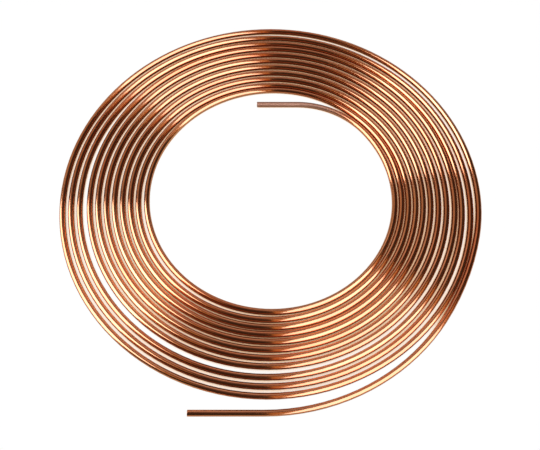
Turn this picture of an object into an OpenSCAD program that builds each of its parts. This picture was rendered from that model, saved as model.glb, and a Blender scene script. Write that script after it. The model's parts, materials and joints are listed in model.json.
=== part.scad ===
// Flat coil of soft copper tube: one length of tube wound as a single-layer spiral,
// with a straight cut end outside the coil and another inside its eye.

/* [Tube] */
// Outside diameter of the tube
tube_od = 4.75; // [3:0.05:12]
// Wall thickness of the tube
tube_wall = 0.7; // [0.4:0.05:1.2]

/* [Winding] */
// Whole turns between the two loose ends
turns = 11; // [2:1:16]
// Clear gap that an even winding leaves between neighbouring turns
turn_gap = 1.9; // [0.6:0.05:5]
// Centre-line radius of the innermost turn
eye_radius = 102.5; // [60:0.5:220]
// How much tighter the middle turns lie than in an even winding
waist = 1.4; // [0:0.1:1.8]
// Sideways lean of the innermost turns, in gaps
lean = 0.22; // [0:0.01:0.25]
// Direction of that lean
lean_angle = 206; // [0:1:359]

/* [Outer end] */
// Length of the straight outer end
outer_straight = 55; // [10:1:120]
// How much smaller the radius of the bend next to the coil is than the outermost turn's
outer_bend = 17; // [0:1:40]
// How much larger the radius of the flatter stretch after that bend is
outer_flat = 46; // [0:1:50]
// How much smaller the radius of the rest of the outer end is
outer_ease = 4; // [0:0.5:6]

/* [Inner end] */
// Length of the straight inner end
inner_straight = 36; // [10:1:60]
// How much larger the radius is where the inner end leaves the innermost turn
inner_follow = 2; // [0:0.5:4]
// How much smaller the radius of the bend into the eye is than the innermost turn's
inner_bend = 29; // [10:1:45]

/* [Hidden] */
$fn = 48;
copper = [0.78, 0.45, 0.29];

// Quarter turns that were bent by hand: [count from the outside, change of radius in gaps]
hand_bends = [[0, -0.5], [1, 0.5], [11, 0.6], [38, -0.3], [39, 0.5]];

pitch = tube_od + turn_gap;
quarters = 4 * turns;
outermost = eye_radius + pitch * (quarters - 1) / 4;

// The loose ends change their bend at joints that face along whole-number slopes
outer_bend_joint = atan2(7, 24);
outer_flat_joint = atan2(3, 4);
inner_bend_joint = atan2(3, 4);

// Radii are rounded, and sweeps rounded up by a hair, so that arcs meet face to face
function tenths(length) = round(10 * length) / 10;
function hundredths(length) = round(100 * length) / 100;
function sweep(from, to) = ceil(10000 * abs(to - from)) / 10000;
function heading(angle) = [cos(angle), sin(angle)];
function sum(values, i = 0) = i < len(values) ? values[i] + sum(values, i + 1) : 0;

// Centre-line radius of one quarter turn, counted from the outside
function quarter_radius(i) =
    let (depth = i / (quarters - 1))
    outermost - pitch * i / 4
        - waist * sin(180 * depth)
        + turn_gap * lean * depth * cos(90 * i + lean_angle)
        + turn_gap * sum([for (bend = hand_bends) if (bend[0] == i) bend[1]]);

// The spiral runs inwards from the right side of the coil
spiral_radii = [for (i = [0 : quarters - 1]) hundredths(quarter_radius(i))];
spiral_angles = [for (i = [0 : quarters]) 90 * i];

// The outer end runs from the spiral's first quarter back to the front
outer_radii = [
    spiral_radii[0],
    tenths(outermost - outer_bend),
    tenths(outermost + outer_flat),
    tenths(outermost - outer_ease)
];
outer_angles = [0, 0, -outer_bend_joint, -outer_flat_joint, -90];

// The inner end runs on from the spiral's last quarter to the back of the eye
inner_radii = [
    spiral_radii[quarters - 1],
    tenths(eye_radius + inner_follow),
    tenths(eye_radius - inner_bend)
];
inner_angles = [0, 0, inner_bend_joint, 90];

// Each list's first arc is centred on [0, 0], and the next centres lie on the joints' normals
function centre(radii, angles, i) =
    i == 0 ? [0, 0]
           : centre(radii, angles, i - 1) + (radii[i - 1] - radii[i]) * heading(angles[i]);
function joint(radii, angles, i) =
    centre(radii, angles, i - 1) + radii[i - 1] * heading(angles[i]);

last_centre = centre(spiral_radii, spiral_angles, quarters - 1);
outer_joint = joint(outer_radii, outer_angles, len(outer_radii));
inner_joint = joint(inner_radii, inner_angles, len(inner_radii));

// The outermost joints face right, back, left and front, so they bound the coil
right = spiral_radii[0];
back = joint(spiral_radii, spiral_angles, 1).y;
left = joint(spiral_radii, spiral_angles, 2).x;
front = outer_joint.y;
middle = [(left + right) / 2, (front + back) / 2];

module tube_section() {
    difference() {
        circle(d = tube_od);
        circle(d = tube_od - 2 * tube_wall);
    }
}

// One arc of a chain, between its own joint and the next
module tube_arc(radii, angles, i) {
    translate(centre(radii, angles, i))
        rotate(min(angles[i], angles[i + 1]))
            rotate_extrude(angle = sweep(angles[i], angles[i + 1]))
                translate([radii[i], 0])
                    tube_section();
}

// A straight end that runs to the left from a joint
module straight_end(start, length) {
    translate(start)
        rotate([0, -90, 0])
            linear_extrude(length)
                tube_section();
}

module outer_end() {
    straight_end(outer_joint, outer_straight);
    for (i = [1 : len(outer_radii) - 1]) tube_arc(outer_radii, outer_angles, i);
}

module winding() {
    for (i = [0 : quarters - 1]) tube_arc(spiral_radii, spiral_angles, i);
}

module inner_end() {
    translate(last_centre) {
        for (i = [1 : len(inner_radii) - 1]) tube_arc(inner_radii, inner_angles, i);
        straight_end(inner_joint, inner_straight);
    }
}

module copper_tube() {
    color(copper)
        translate([-middle.x, -middle.y, tube_od / 2]) {
            outer_end();
            winding();
            inner_end();
        }
}

copper_tube();
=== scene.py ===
import json
import math
from collections import namedtuple

import bmesh
import bpy
from mathutils import Matrix, Vector


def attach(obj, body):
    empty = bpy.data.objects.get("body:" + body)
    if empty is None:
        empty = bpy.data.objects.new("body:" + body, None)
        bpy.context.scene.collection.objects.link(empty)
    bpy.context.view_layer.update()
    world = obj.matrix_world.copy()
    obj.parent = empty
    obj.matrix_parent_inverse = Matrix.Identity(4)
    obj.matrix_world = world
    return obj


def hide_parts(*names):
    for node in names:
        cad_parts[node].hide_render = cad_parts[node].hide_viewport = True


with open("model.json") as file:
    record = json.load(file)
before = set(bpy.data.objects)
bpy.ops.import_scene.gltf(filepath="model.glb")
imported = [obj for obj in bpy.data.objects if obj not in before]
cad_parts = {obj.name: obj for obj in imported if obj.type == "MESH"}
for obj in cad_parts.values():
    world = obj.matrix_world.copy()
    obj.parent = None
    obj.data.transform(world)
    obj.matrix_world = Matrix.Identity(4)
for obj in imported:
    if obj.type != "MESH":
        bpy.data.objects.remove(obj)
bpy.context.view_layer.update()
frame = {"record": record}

bl_info = {
    "name": "Copper Tube Coil",
    "version": (1, 0, 0),
    "blender": (4, 5, 0),
    "location": "3D View > Sidebar > Coil",
    "description": "A flat coil of soft copper tube with its drawn finish, on a plain pale stage",
    "category": "Add Mesh",
}

MM = 0.001
MOUNTS = {mount["name"]: mount for mount in frame["record"]["mounts"]}
OUTER_END = MOUNTS["outer_end"]["dims"]
INNER_END = MOUNTS["inner_end"]["dims"]
# The photograph's width, in pixels
PHOTO_WIDTH = 540
# The loose ends change their bend at joints that face along these slopes
OUTER_BEND_JOINT = math.atan2(7, 24)
OUTER_FLAT_JOINT = math.atan2(3, 4)
INNER_BEND_JOINT = math.atan2(3, 4)
QUARTER = math.pi / 2
# Quarter turns that were bent by hand: count from the outside, change of radius in gaps
HAND_BENDS = {0: -0.5, 1: 0.5, 11: 0.6, 38: -0.3, 39: 0.5}
# The attribute that holds each point's place on the tube before it was coiled
STRAIGHT = "straight"
# Material slots of the tube
OUTSIDE, BORE, CUT = range(3)
# Points closer than this are welded into one
WELD = 0.01 * MM

Arc = namedtuple("Arc", "centre radius start sweep")

# A copper surface's range of roughness, how many lines lie in a line width, and their depth
Surface = namedtuple("Surface", "name roughness density depth")
DRAWN_SURFACE = Surface("drawn_copper", (0.07, 0.13), 1, 0.002 * MM)
BORE_SURFACE = Surface("bore_copper", (0.35, 0.55), 1, 0.004 * MM)
CUT_SURFACE = Surface("cut_copper", (0.25, 0.45), 3, 0.04 * MM)
# The drawing lines' pattern is scaled by this along, across and up the tube, and its detail
LINE_STRETCH = (0.004, 1, 1)
LINE_DETAIL = 3
# Noise that masks a change of colour: its scale along, across and up the tube, its detail and
# roughness, and the values between which the mask rises
Noise = namedtuple("Noise", "per_metre detail roughness limits")
TARNISH_NOISE = Noise((18, 130, 130), 4, 0.6, (0.38, 0.68))
FLUSH_NOISE = Noise((6, 0, 0), 2, 0.5, (0.42, 0.62))
# Roughness of copper that handling has dulled, and half the length over which that clears
HANDLED_ROUGHNESS = 0.42
HANDLED_FADE = 20 * MM
RELIEF_STRENGTH = 0.5

FLOOR_RADIUS = 6
FLOOR_SIDES = 96
# How far from a turn the floor gets painted shade from it
GAP_REACH = 8 * MM
# How open the floor is at painted shade in the narrowest gaps, a painted warm glow and the open
# floor
PAINTED_GAP_STOPS = (0.16, 0.29, 0.41)
# The same for its mirror image in the tube: painted shade in the gaps, and a painted reflection of
# the open floor
PAINTED_MIRRORED_STOPS = (0.45, 0.8)
CAMERA_CLIP = 10 * MM

# A card's corners are the level parts of unit directions from the coil's middle, and its
# distance is in metres
Card = namedtuple("Card", "name corners distance radiance")
LIGHT_CARDS = (
    Card("left_card", ((-0.22, 0.34), (-0.93, 0.34), (-0.88, -0.46), (-0.38, -0.2)),
         3, (3.0, 3.1, 3.2)),
    Card("right_card", ((0.06, 0.36), (0.1, -0.96), (0.92, -0.36), (0.5, 0.05)),
         3, (2.2, 2.3, 2.4)),
    Card("left_glow", ((-0.14, 0.4), (-0.95, 0.3), (-0.84, -0.53), (-0.27, -0.3)),
         3.3, (0.5, 0.24, 0.08)),
    Card("right_glow", ((-0.01, 0.41), (0.03, -0.98), (0.95, -0.28), (0.56, 0.13)),
         3.3, (0.5, 0.24, 0.08)),
    Card("left_wall", ((-0.15, 0.42), (-0.9, 0.4), (-0.7, 0.66), (-0.15, 0.6)),
         3, (0.42, 0.28, 0.18)),
    Card("back_glow", ((-0.13, 0.05), (0.07, 0.05), (0.07, 0.58), (-0.13, 0.58)),
         3.6, (0.19, 0.12, 0.10)),
)
# A wall's distance and size are in metres
Wall = namedtuple("Wall", "name direction distance size radiance colour")
BACK_WALL = Wall("back_wall", (-0.1, 0.75, 0.6), 3, (4.5, 1.8), 0.5, (1, 0.75, 0.65))


class TubeSettings(bpy.types.PropertyGroup):
    """Sizes of the tube and of its winding"""

    diameter: bpy.props.FloatProperty(
        name="Diameter", description="Outside diameter of the tube",
        default=2 * OUTER_END["r_mm"] * MM, unit="LENGTH", precision=5)
    wall: bpy.props.FloatProperty(
        name="Wall", description="Thickness of the tube's wall",
        default=0.7 * MM, unit="LENGTH", precision=5)
    turns: bpy.props.IntProperty(
        name="Turns", description="Whole turns between the two loose ends", default=11, min=2)
    gap: bpy.props.FloatProperty(
        name="Gap", description="Clear gap that an even winding leaves between turns",
        default=1.9 * MM, unit="LENGTH", precision=5)
    eye_radius: bpy.props.FloatProperty(
        name="Eye radius", description="Centre-line radius of the innermost turn",
        default=102.5 * MM, unit="LENGTH", precision=5)
    waist: bpy.props.FloatProperty(
        name="Waist", description="How much tighter the middle turns lie than in an even winding",
        default=1.4 * MM, unit="LENGTH", precision=5)
    lean: bpy.props.FloatProperty(
        name="Lean", description="Sideways lean of the innermost turns, in gaps", default=0.22)
    lean_angle: bpy.props.FloatProperty(
        name="Lean angle", description="Direction of the lean",
        default=math.radians(206), subtype="ANGLE")
    outer_straight: bpy.props.FloatProperty(
        name="Outer straight", description="Length of the straight outer end",
        default=OUTER_END["length_mm"] * MM, unit="LENGTH", precision=5)
    outer_bend: bpy.props.FloatProperty(
        name="Outer bend", description="How much tighter the outer end's bend next to the coil is",
        default=17 * MM, unit="LENGTH", precision=5)
    outer_flat: bpy.props.FloatProperty(
        name="Outer flat", description="How much flatter the outer end's middle stretch is",
        default=46 * MM, unit="LENGTH", precision=5)
    outer_ease: bpy.props.FloatProperty(
        name="Outer ease", description="How much tighter the rest of the outer end is",
        default=4 * MM, unit="LENGTH", precision=5)
    inner_straight: bpy.props.FloatProperty(
        name="Inner straight", description="Length of the straight inner end",
        default=INNER_END["length_mm"] * MM, unit="LENGTH", precision=5)
    inner_follow: bpy.props.FloatProperty(
        name="Inner follow", description="How much flatter the inner end leaves the last turn",
        default=2 * MM, unit="LENGTH", precision=5)
    inner_bend: bpy.props.FloatProperty(
        name="Inner bend", description="How much tighter the bend into the eye is",
        default=29 * MM, unit="LENGTH", precision=5)
    rim: bpy.props.FloatProperty(
        name="Rim", description="Width of the rounding on the cut ends' rims",
        default=0.12 * MM, unit="LENGTH", precision=5)
    sides: bpy.props.IntProperty(
        name="Sides", description="Faces around the tube", default=24, min=8)
    step: bpy.props.FloatProperty(
        name="Step", description="Angle between neighbouring rings of an arc",
        default=math.radians(3), subtype="ANGLE")


class FinishSettings(bpy.types.PropertyGroup):
    """Colours and marks of the copper"""

    bright: bpy.props.FloatVectorProperty(
        name="Bright copper", description="Colour of the clean drawn wall",
        default=(0.92, 0.47, 0.26), subtype="COLOR", min=0, max=1)
    tarnished: bpy.props.FloatVectorProperty(
        name="Tarnished copper", description="Colour of the tarnished patches",
        default=(0.76, 0.37, 0.21), subtype="COLOR", min=0, max=1)
    cut: bpy.props.FloatVectorProperty(
        name="Cut copper", description="Colour of the freshly cut ends",
        default=(0.96, 0.62, 0.44), subtype="COLOR", min=0, max=1)
    bore: bpy.props.FloatVectorProperty(
        name="Bore copper", description="Colour of the dull bore",
        default=(0.42, 0.17, 0.09), subtype="COLOR", min=0, max=1)
    flushed: bpy.props.FloatVectorProperty(
        name="Flushed copper", description="Colour of the redder stretches along the tube",
        default=(0.88, 0.34, 0.17), subtype="COLOR", min=0, max=1)
    handled: bpy.props.FloatVectorProperty(
        name="Handled copper", description="Colour of the inner end, dulled by handling",
        default=(0.54, 0.30, 0.22), subtype="COLOR", min=0, max=1)
    handled_length: bpy.props.FloatProperty(
        name="Handled length", description="Length of the inner end that handling has dulled",
        default=75 * MM, unit="LENGTH", precision=5)
    line_width: bpy.props.FloatProperty(
        name="Line width", description="Width of the drawing lines along the tube",
        default=0.35 * MM, unit="LENGTH", precision=5)


class StageSettings(bpy.types.PropertyGroup):
    """Floor, lights and camera"""

    floor: bpy.props.FloatVectorProperty(
        name="Floor", description="Colour of the floor",
        default=(0.93, 0.93, 0.93), subtype="COLOR", min=0, max=1)
    floor_glow: bpy.props.FloatProperty(
        name="Floor glow", description="How brightly the floor and the backdrop show",
        default=1.08, min=0)
    # Painted shade: the floor's colour in the narrowest gaps between turns
    painted_gap_shade: bpy.props.FloatVectorProperty(
        name="Gap shade", description="Colour of the floor in the narrowest gaps between turns",
        default=(0.20, 0.07, 0.03), subtype="COLOR", min=0, max=1)
    # Painted warm glow: the floor's colour in wider gaps, standing in for light that the copper
    # throws back
    painted_gap_glow: bpy.props.FloatVectorProperty(
        name="Gap glow", description="Colour of the floor in gaps that the copper warms",
        default=(0.92, 0.56, 0.30), subtype="COLOR", min=0, max=1)
    # Painted shade: the floor in a gap as the tube mirrors it
    painted_mirrored_gap: bpy.props.FloatVectorProperty(
        name="Mirrored gap", description="Colour of the floor in a gap as the tube mirrors it",
        default=(0.045, 0.025, 0.016), subtype="COLOR", min=0, max=1)
    # Painted reflection: the open floor as the tube mirrors it, dimmer and warmer than the camera
    # sees it
    painted_mirrored_floor: bpy.props.FloatVectorProperty(
        name="Mirrored floor", description="Colour of the open floor as the tube mirrors it",
        default=(0.55, 0.45, 0.34), subtype="COLOR", min=0, max=1)
    surroundings: bpy.props.FloatVectorProperty(
        name="Surroundings", description="Colour of the dim room around the stage",
        default=(0.045, 0.027, 0.018), subtype="COLOR", min=0, max=1)
    look_at: bpy.props.FloatVectorProperty(
        name="Look at", description="The floor point in the middle of the picture",
        default=(-0.5 * MM, -28 * MM, 0), subtype="TRANSLATION", unit="LENGTH")
    elevation: bpy.props.FloatProperty(
        name="Elevation", description="Height of the camera above the horizon",
        default=math.radians(64.2), subtype="ANGLE")
    distance: bpy.props.FloatProperty(
        name="Distance", description="Distance of the camera from the point it looks at",
        default=503 * MM, unit="LENGTH", precision=4)
    focal_pixels: bpy.props.FloatProperty(
        name="Focal length", description="Focal length in pixels of the picture", default=613)


def heading(angle):
    """The level direction that a joint at this angle faces"""
    return Vector((math.cos(angle), math.sin(angle), 0))


def chain(radii, angles):
    """Arcs that follow each other in line, with the first one centred on the origin"""
    centre = Vector((0, 0, 0))
    arcs = []
    for i, radius in enumerate(radii):
        if i > 0:
            centre = centre + (radii[i - 1] - radius) * heading(angles[i])
        start = min(angles[i], angles[i + 1])
        arcs.append(Arc(centre, radius, start, abs(angles[i + 1] - angles[i])))
    return arcs


def quarter_radius(tube, i):
    """Centre-line radius of one quarter turn, counted from the outside"""
    pitch = tube.diameter + tube.gap
    last = 4 * tube.turns - 1
    depth = i / last
    even = tube.eye_radius + pitch * (last - i) / 4
    lean = tube.lean * depth * math.cos(QUARTER * i + tube.lean_angle)
    return even - tube.waist * math.sin(math.pi * depth) + tube.gap * (lean + HAND_BENDS.get(i, 0))


def tube_route(tube):
    """The tube's arcs from its outer end to its inner end, with the coil's box about the origin"""
    quarters = 4 * tube.turns
    outermost = tube.eye_radius + (tube.diameter + tube.gap) * (quarters - 1) / 4
    radii = [quarter_radius(tube, i) for i in range(quarters)]
    winding = chain(radii, [QUARTER * i for i in range(quarters + 1)])
    outer = chain(
        [radii[0], outermost - tube.outer_bend, outermost + tube.outer_flat,
         outermost - tube.outer_ease],
        [0, 0, -OUTER_BEND_JOINT, -OUTER_FLAT_JOINT, -QUARTER])[1:]
    inner = chain(
        [radii[-1], tube.eye_radius + tube.inner_follow, tube.eye_radius - tube.inner_bend],
        [0, 0, INNER_BEND_JOINT, QUARTER])[1:]
    inner = [arc._replace(centre=arc.centre + winding[-1].centre) for arc in inner]

    right = radii[0]
    back = winding[1].centre.y + radii[1]
    left = winding[2].centre.x - radii[2]
    front = outer[-1].centre.y - outer[-1].radius
    shift = Vector((-(left + right) / 2, -(front + back) / 2, tube.diameter / 2))
    route = outer[::-1] + winding + inner
    return [arc._replace(centre=arc.centre + shift) for arc in route]


def new_stretch(tube, radius, start, facing):
    """A bmesh with one ring of a wall, upright and square to the tube, to draw a stretch from"""
    bm = bmesh.new()
    layer = bm.verts.layers.float_vector.new(STRAIGHT)
    turn = Matrix.Rotation(facing, 4, "Z") @ Matrix.Rotation(QUARTER, 4, "X")
    ring = bmesh.ops.create_circle(
        bm, cap_ends=False, segments=tube.sides, radius=radius,
        matrix=Matrix.Translation(start) @ turn)["verts"]
    for vertex in ring:
        section = vertex.co - start
        vertex[layer] = Vector((0, section.dot(heading(facing)), section.z))
    return bm


def join_stretch(wall, bm, tube, along, pace, slot):
    """Adds a stretch to its wall, with each ring's place along the straight tube"""
    layer = bm.verts.layers.float_vector[STRAIGHT]
    for i, vertex in enumerate(bm.verts):
        vertex[layer].x = along + pace * (i // tube.sides)
    for face in bm.faces:
        face.material_index = slot
        face.smooth = True
    mesh = bpy.data.meshes.new("stretch")
    bm.to_mesh(mesh)
    bm.free()
    wall.from_mesh(mesh)
    bpy.data.meshes.remove(mesh)


def add_straight(wall, tube, radius, slot, start, facing, along, length, way):
    """A straight end that runs to the left from a joint"""
    bm = new_stretch(tube, radius, start, facing)
    steps = math.ceil(length / tube.diameter)
    bmesh.ops.spin(
        bm, geom=bm.verts[:] + bm.edges[:], cent=start, axis=(0, 0, 1), angle=0,
        dvec=(-length / steps, 0, 0), steps=steps, use_merge=False, use_duplicate=False)
    join_stretch(wall, bm, tube, along, way * length / steps, slot)


def add_wall(wall, tube, route, radius, slot):
    """The tube's outer wall or its bore, in stretches that meet ring on ring; gives its length"""
    along = tube.outer_straight
    first = route[0]
    start = first.centre + first.radius * heading(first.start)
    add_straight(wall, tube, radius, slot, start, first.start, along,
                 tube.outer_straight, -1)
    for arc in route:
        start = arc.centre + arc.radius * heading(arc.start)
        bm = new_stretch(tube, radius, start, arc.start)
        steps = math.ceil(arc.sweep / tube.step)
        bmesh.ops.spin(
            bm, geom=bm.verts[:] + bm.edges[:], cent=arc.centre, axis=(0, 0, 1),
            angle=arc.sweep, steps=steps, use_merge=False, use_duplicate=False)
        length = arc.radius * arc.sweep
        join_stretch(wall, bm, tube, along, length / steps, slot)
        along += length
    last = route[-1]
    end = last.start + last.sweep
    start = last.centre + last.radius * heading(end)
    add_straight(wall, tube, radius, slot, start, end, along, tube.inner_straight, 1)
    return along + tube.inner_straight


def cut_ends(bm, tube):
    """Closes the tube's wall at both ends, from the rim of the bore out to the outer rim"""
    bore_radius = tube.diameter / 2 - tube.wall
    grow = Matrix.Scale(tube.diameter / 2 / bore_radius, 4)
    rims = [edge for edge in bm.edges
            if edge.is_boundary and edge.link_faces[0].material_index == BORE]
    # The outer end lies in front of the coil's middle, and the inner end behind it
    for side in (-1, 1):
        end = [edge for edge in rims if side * edge.verts[0].co.y > 0]
        flange = bmesh.ops.extrude_edge_only(bm, edges=end)["geom"]
        verts = [item for item in flange if isinstance(item, bmesh.types.BMVert)]
        middle = sum((vertex.co for vertex in verts), Vector()) / len(verts)
        bmesh.ops.transform(bm, matrix=grow, space=Matrix.Translation(-middle), verts=verts)
        for face in flange:
            if isinstance(face, bmesh.types.BMFace):
                face.material_index = CUT
    bmesh.ops.remove_doubles(bm, verts=bm.verts, dist=WELD)
    bmesh.ops.recalc_face_normals(bm, faces=bm.faces)


def is_rim(edge):
    """Whether a cut end meets the outer wall or the bore at this edge"""
    slots = {face.material_index for face in edge.link_faces}
    return CUT in slots and len(slots) == 2


def finished_mesh(bm, name):
    """A bmesh as an object of the scene"""
    mesh = bpy.data.meshes.new(name)
    bm.to_mesh(mesh)
    bm.free()
    piece = bpy.data.objects.new(name, mesh)
    bpy.context.scene.collection.objects.link(piece)
    return piece


def new_node(nodes, kind, place, **values):
    """A shader node at a place in the editor, with some of its settings"""
    node = nodes.new(kind)
    node.location = place
    for key, value in values.items():
        setattr(node, key, value)
    return node


def noise_mask(group, place, noise, height):
    """A mask that noise along the tube gives, with its nodes at a height in the editor"""
    nodes = group.nodes
    links = group.links
    scale = new_node(nodes, "ShaderNodeVectorMath", (-700, height), operation="MULTIPLY")
    scale.inputs[1].default_value = noise.per_metre
    cloud = new_node(nodes, "ShaderNodeTexNoise", (-500, height))
    cloud.inputs["Scale"].default_value = 1
    cloud.inputs["Detail"].default_value = noise.detail
    cloud.inputs["Roughness"].default_value = noise.roughness
    mask = new_node(nodes, "ShaderNodeMapRange", (-300, height), interpolation_type="SMOOTHSTEP")
    mask.inputs["From Min"].default_value, mask.inputs["From Max"].default_value = noise.limits
    links.new(place, scale.inputs[0])
    links.new(scale.outputs["Vector"], cloud.inputs["Vector"])
    links.new(cloud.outputs["Fac"], mask.inputs["Value"])
    return mask.outputs["Result"]


def drawn_marks_group():
    """Node group: the marks that drawing and handling leave along a tube"""
    group = bpy.data.node_groups.new("drawn_marks", "ShaderNodeTree")
    sockets = group.interface
    sockets.new_socket("Place", in_out="INPUT", socket_type="NodeSocketVector")
    for name in ("Lines per Metre", "Handled From"):
        sockets.new_socket(name, in_out="INPUT", socket_type="NodeSocketFloat")
    for name in ("Lines", "Tarnish", "Flush", "Handled"):
        sockets.new_socket(name, in_out="OUTPUT", socket_type="NodeSocketFloat")
    nodes = group.nodes
    links = group.links
    entry = new_node(nodes, "NodeGroupInput", (-900, 0))
    leave = new_node(nodes, "NodeGroupOutput", (600, 0))
    place = entry.outputs["Place"]

    # Drawing lines run along the tube, so the pattern is stretched that way
    stretch = new_node(nodes, "ShaderNodeVectorMath", (-700, 260), operation="MULTIPLY")
    stretch.inputs[1].default_value = LINE_STRETCH
    scale = new_node(nodes, "ShaderNodeVectorMath", (-500, 260), operation="SCALE")
    lines = new_node(nodes, "ShaderNodeTexNoise", (-300, 260))
    lines.inputs["Scale"].default_value = 1
    lines.inputs["Detail"].default_value = LINE_DETAIL
    links.new(place, stretch.inputs[0])
    links.new(stretch.outputs["Vector"], scale.inputs[0])
    links.new(entry.outputs["Lines per Metre"], scale.inputs["Scale"])
    links.new(scale.outputs["Vector"], lines.inputs["Vector"])
    links.new(lines.outputs["Fac"], leave.inputs["Lines"])

    # Tarnish comes and goes over a few centimetres, and redder stretches over a decimetre or two
    links.new(noise_mask(group, place, TARNISH_NOISE, -40), leave.inputs["Tarnish"])
    links.new(noise_mask(group, place, FLUSH_NOISE, -700), leave.inputs["Flush"])

    # The inner end is dull from handling, and clears over a few centimetres
    apart = new_node(nodes, "ShaderNodeSeparateXYZ", (-700, -400))
    past = new_node(nodes, "ShaderNodeMath", (-500, -400), operation="SUBTRACT")
    fade = new_node(nodes, "ShaderNodeMapRange", (-300, -400), interpolation_type="SMOOTHSTEP")
    fade.inputs["From Min"].default_value = -HANDLED_FADE
    fade.inputs["From Max"].default_value = HANDLED_FADE
    links.new(place, apart.inputs["Vector"])
    links.new(apart.outputs["X"], past.inputs[0])
    links.new(entry.outputs["Handled From"], past.inputs[1])
    links.new(past.outputs["Value"], fade.inputs["Value"])
    links.new(fade.outputs["Result"], leave.inputs["Handled"])
    return group


def copper_material(surface, marks_group, colours, lines_per_metre, handled_from):
    """Copper whose colour, gloss and relief follow the marks along the tube"""
    clean, flushed, tarnished, handled = colours
    material = bpy.data.materials.new(surface.name)
    material.use_nodes = True
    nodes = material.node_tree.nodes
    links = material.node_tree.links
    shader = nodes["Principled BSDF"]
    shader.inputs["Metallic"].default_value = 1

    place = new_node(nodes, "ShaderNodeAttribute", (-1100, 0), attribute_name=STRAIGHT)
    marks = new_node(nodes, "ShaderNodeGroup", (-900, 0), node_tree=marks_group)
    marks.inputs["Lines per Metre"].default_value = lines_per_metre
    marks.inputs["Handled From"].default_value = handled_from
    links.new(place.outputs["Vector"], marks.inputs["Place"])

    red = new_node(nodes, "ShaderNodeMix", (-800, 300), data_type="RGBA")
    red.inputs["A"].default_value = (*clean, 1)
    red.inputs["B"].default_value = (*flushed, 1)
    links.new(marks.outputs["Flush"], red.inputs["Factor"])
    colour = new_node(nodes, "ShaderNodeMix", (-600, 300), data_type="RGBA")
    colour.inputs["B"].default_value = (*tarnished, 1)
    links.new(marks.outputs["Tarnish"], colour.inputs["Factor"])
    links.new(red.outputs["Result"], colour.inputs["A"])
    dulled = new_node(nodes, "ShaderNodeMix", (-400, 300), data_type="RGBA")
    dulled.inputs["B"].default_value = (*handled, 1)
    links.new(marks.outputs["Handled"], dulled.inputs["Factor"])
    links.new(colour.outputs["Result"], dulled.inputs["A"])
    links.new(dulled.outputs["Result"], shader.inputs["Base Color"])

    gloss = new_node(nodes, "ShaderNodeMapRange", (-600, 0))
    gloss.inputs["To Min"].default_value, gloss.inputs["To Max"].default_value = surface.roughness
    links.new(marks.outputs["Lines"], gloss.inputs["Value"])
    satin = new_node(nodes, "ShaderNodeMix", (-400, 0), data_type="FLOAT")
    satin.inputs["B"].default_value = HANDLED_ROUGHNESS
    links.new(marks.outputs["Handled"], satin.inputs["Factor"])
    links.new(gloss.outputs["Result"], satin.inputs["A"])
    links.new(satin.outputs["Result"], shader.inputs["Roughness"])

    relief = new_node(nodes, "ShaderNodeBump", (-400, -260))
    relief.inputs["Strength"].default_value = RELIEF_STRENGTH
    relief.inputs["Distance"].default_value = surface.depth
    links.new(marks.outputs["Lines"], relief.inputs["Height"])
    links.new(relief.outputs["Normal"], shader.inputs["Normal"])
    return material


class COIL_OT_copper_tube(bpy.types.Operator):
    """Makes the coiled tube in place of its plain solid"""

    bl_idname = "coil.copper_tube"
    bl_label = "Copper tube"

    def execute(self, context):
        tube = context.scene.coil_tube
        finish = context.scene.coil_finish
        if 2 * tube.wall >= tube.diameter:
            raise ValueError("The wall leaves no room for a bore")
        route = tube_route(tube)
        bm = bmesh.new()
        bm.verts.layers.float_vector.new(STRAIGHT)
        length = add_wall(bm, tube, route, tube.diameter / 2, OUTSIDE)
        add_wall(bm, tube, route, tube.diameter / 2 - tube.wall, BORE)
        bmesh.ops.remove_doubles(bm, verts=bm.verts, dist=WELD)
        cut_ends(bm, tube)
        rims = [edge for edge in bm.edges if is_rim(edge)]
        if len(rims) != 4 * tube.sides or any(edge.is_boundary for edge in bm.edges):
            raise RuntimeError("The stretches of tube and their cut ends don't meet ring on ring")
        cuts = [face for face in bm.faces if face.material_index == CUT]
        cuts += bmesh.ops.bevel(
            bm, geom=rims, offset=tube.rim, offset_type="OFFSET", segments=2, profile=0.5,
            affect="EDGES", material=-1)["faces"]
        for face in cuts:
            if face.is_valid:
                face.smooth = False
                for edge in face.edges:
                    edge.smooth = False
        piece = finished_mesh(bm, "coiled_tube")

        marks = drawn_marks_group()
        handled_from = length - finish.handled_length
        for surface, colours in (
                (DRAWN_SURFACE,
                 (finish.bright, finish.flushed, finish.tarnished, finish.handled)),
                (BORE_SURFACE, (finish.bore, finish.bore, finish.tarnished, finish.bore)),
                (CUT_SURFACE, (finish.cut, finish.cut, finish.bright, finish.cut))):
            piece.data.materials.append(copper_material(
                surface, marks, colours, surface.density / finish.line_width, handled_from))
        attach(piece, "root")
        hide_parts("copper_tube")
        return {"FINISHED"}


def openness_ramp(nodes, place, stops, colours):
    """Colours of the floor by how open it is"""
    node = new_node(nodes, "ShaderNodeValToRGB", place)
    ramp = node.color_ramp.elements
    for stop in stops[1:-1]:
        ramp.new(stop)
    for element, stop, colour in zip(ramp, stops, colours):
        element.position = stop
        element.color = (*colour, 1)
    return node


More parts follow.
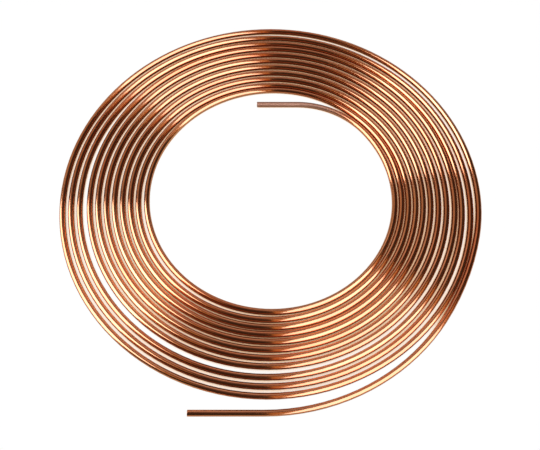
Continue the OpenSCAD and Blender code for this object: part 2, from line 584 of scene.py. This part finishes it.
def stage_floor(stage):
    """A plain pale floor with painted shade and a painted warm glow in the narrow gaps between
    turns
    """
    bm = bmesh.new()
    bmesh.ops.create_circle(bm, cap_ends=True, segments=FLOOR_SIDES, radius=FLOOR_RADIUS)
    floor = finished_mesh(bm, "stage_floor")
    material = bpy.data.materials.new("pale_floor")
    material.use_nodes = True
    material.cycles.emission_sampling = "NONE"
    nodes = material.node_tree.nodes
    links = material.node_tree.links
    nodes.remove(nodes["Principled BSDF"])
    # Ambient occlusion picks where the floor gets painted shade and a painted warm glow
    gaps = new_node(nodes, "ShaderNodeAmbientOcclusion", (-500, -300))
    gaps.inputs["Distance"].default_value = GAP_REACH
    painted_gap_ramp = openness_ramp(
        nodes, (-300, -300), PAINTED_GAP_STOPS, (stage.painted_gap_shade, stage.painted_gap_glow, stage.floor))
    glow = new_node(nodes, "ShaderNodeEmission", (100, -300))
    glow.inputs["Strength"].default_value = stage.floor_glow
    links.new(gaps.outputs["AO"], painted_gap_ramp.inputs["Fac"])
    links.new(painted_gap_ramp.outputs["Color"], glow.inputs["Color"])
    # The floor that the tube mirrors, with painted shade in its gaps and a painted reflection of
    # the open floor
    mirrored = openness_ramp(
        nodes, (-300, 0), PAINTED_MIRRORED_STOPS, (stage.painted_mirrored_gap, stage.painted_mirrored_floor))
    reflection = new_node(nodes, "ShaderNodeEmission", (100, 0))
    links.new(gaps.outputs["AO"], mirrored.inputs["Fac"])
    links.new(mirrored.outputs["Color"], reflection.inputs["Color"])
    seen = new_node(nodes, "ShaderNodeLightPath", (-200, 300))
    mix = new_node(nodes, "ShaderNodeMixShader", (250, 100))
    links.new(seen.outputs["Is Camera Ray"], mix.inputs["Fac"])
    links.new(reflection.outputs["Emission"], mix.inputs[1])
    links.new(glow.outputs["Emission"], mix.inputs[2])
    links.new(mix.outputs["Shader"], nodes["Material Output"].inputs["Surface"])
    floor.data.materials.append(material)


def stage_world(stage):
    """Dim surroundings that the tube mirrors, and a pale backdrop behind the floor"""
    world = bpy.data.worlds.new("stage_world")
    bpy.context.scene.world = world
    world.use_nodes = True
    nodes = world.node_tree.nodes
    links = world.node_tree.links
    room = nodes["Background"]
    room.inputs["Color"].default_value = (*stage.surroundings, 1)
    backdrop = new_node(nodes, "ShaderNodeBackground", (0, -200))
    backdrop.inputs["Color"].default_value = (*stage.floor, 1)
    backdrop.inputs["Strength"].default_value = stage.floor_glow
    seen = new_node(nodes, "ShaderNodeLightPath", (-200, 300))
    mix = new_node(nodes, "ShaderNodeMixShader", (250, 100))
    links.new(seen.outputs["Is Camera Ray"], mix.inputs["Fac"])
    links.new(room.outputs["Background"], mix.inputs[1])
    links.new(backdrop.outputs["Background"], mix.inputs[2])
    links.new(mix.outputs["Shader"], nodes["World Output"].inputs["Surface"])


def light_card(card):
    """A glowing card that the tube mirrors and the camera doesn't see"""
    rays = [Vector((x, y, math.sqrt(1 - x * x - y * y))) for x, y in card.corners]
    middle = sum(rays, Vector()).normalized()
    bm = bmesh.new()
    bm.faces.new([bm.verts.new(card.distance / ray.dot(middle) * ray) for ray in rays])
    panel = finished_mesh(bm, card.name)
    panel.visible_camera = False
    material = bpy.data.materials.new(card.name)
    material.use_nodes = True
    nodes = material.node_tree.nodes
    nodes.remove(nodes["Principled BSDF"])
    glow = new_node(nodes, "ShaderNodeEmission", (0, 300))
    glow.inputs["Color"].default_value = (*card.radiance, 1)
    material.node_tree.links.new(
        glow.outputs["Emission"], nodes["Material Output"].inputs["Surface"])
    panel.data.materials.append(material)


def wall_light(wall):
    """A dim wall that faces the coil"""
    lamp = bpy.data.lights.new(wall.name, "AREA")
    lamp.shape = "RECTANGLE"
    lamp.size, lamp.size_y = wall.size
    lamp.energy = math.pi * lamp.size * lamp.size_y * wall.radiance
    lamp.color = wall.colour
    light = bpy.data.objects.new(wall.name, lamp)
    toward = Vector(wall.direction).normalized()
    light.location = toward * wall.distance
    light.rotation_euler = toward.to_track_quat("Z", "Y").to_euler()
    bpy.context.scene.collection.objects.link(light)


def stage_camera(stage):
    """The photograph's viewing angle"""
    view = bpy.data.cameras.new("photo_camera")
    view.sensor_fit = "HORIZONTAL"
    view.lens = stage.focal_pixels / PHOTO_WIDTH * view.sensor_width
    view.clip_start = CAMERA_CLIP
    camera = bpy.data.objects.new("photo_camera", view)
    back = Vector((0, -math.cos(stage.elevation), math.sin(stage.elevation)))
    camera.location = Vector(stage.look_at) + stage.distance * back
    camera.rotation_euler = (QUARTER - stage.elevation, 0, 0)
    bpy.context.scene.collection.objects.link(camera)
    bpy.context.scene.camera = camera


class COIL_OT_stage(bpy.types.Operator):
    """Makes the floor, the surroundings, the lights and the camera"""

    bl_idname = "coil.stage"
    bl_label = "Stage"

    def execute(self, context):
        stage = context.scene.coil_stage
        stage_floor(stage)
        stage_world(stage)
        for card in LIGHT_CARDS:
            light_card(card)
        wall_light(BACK_WALL)
        stage_camera(stage)
        context.scene.view_settings.view_transform = "Standard"
        return {"FINISHED"}


class COIL_PT_panel(bpy.types.Panel):
    """Lists the coil's settings and the operators that make it"""

    bl_idname = "COIL_PT_panel"
    bl_label = "Copper tube coil"
    bl_space_type = "VIEW_3D"
    bl_region_type = "UI"
    bl_category = "Coil"

    def draw(self, context):
        scene = context.scene
        for settings, operator in (
                (scene.coil_tube, COIL_OT_copper_tube.bl_idname),
                (scene.coil_finish, None),
                (scene.coil_stage, COIL_OT_stage.bl_idname)):
            box = self.layout.box()
            for key in settings.bl_rna.properties.keys():
                if key not in {"rna_type", "name"}:
                    box.prop(settings, key)
            if operator:
                box.operator(operator)


CLASSES = (
    TubeSettings, FinishSettings, StageSettings,
    COIL_OT_copper_tube, COIL_OT_stage, COIL_PT_panel,
)


def register():
    for cls in CLASSES:
        bpy.utils.register_class(cls)
    bpy.types.Scene.coil_tube = bpy.props.PointerProperty(type=TubeSettings)
    bpy.types.Scene.coil_finish = bpy.props.PointerProperty(type=FinishSettings)
    bpy.types.Scene.coil_stage = bpy.props.PointerProperty(type=StageSettings)


def unregister():
    del bpy.types.Scene.coil_stage
    del bpy.types.Scene.coil_finish
    del bpy.types.Scene.coil_tube
    for cls in reversed(CLASSES):
        bpy.utils.unregister_class(cls)


def main():
    register()
    bpy.ops.coil.copper_tube()
    bpy.ops.coil.stage()


if __name__ == "__main__":
    main()
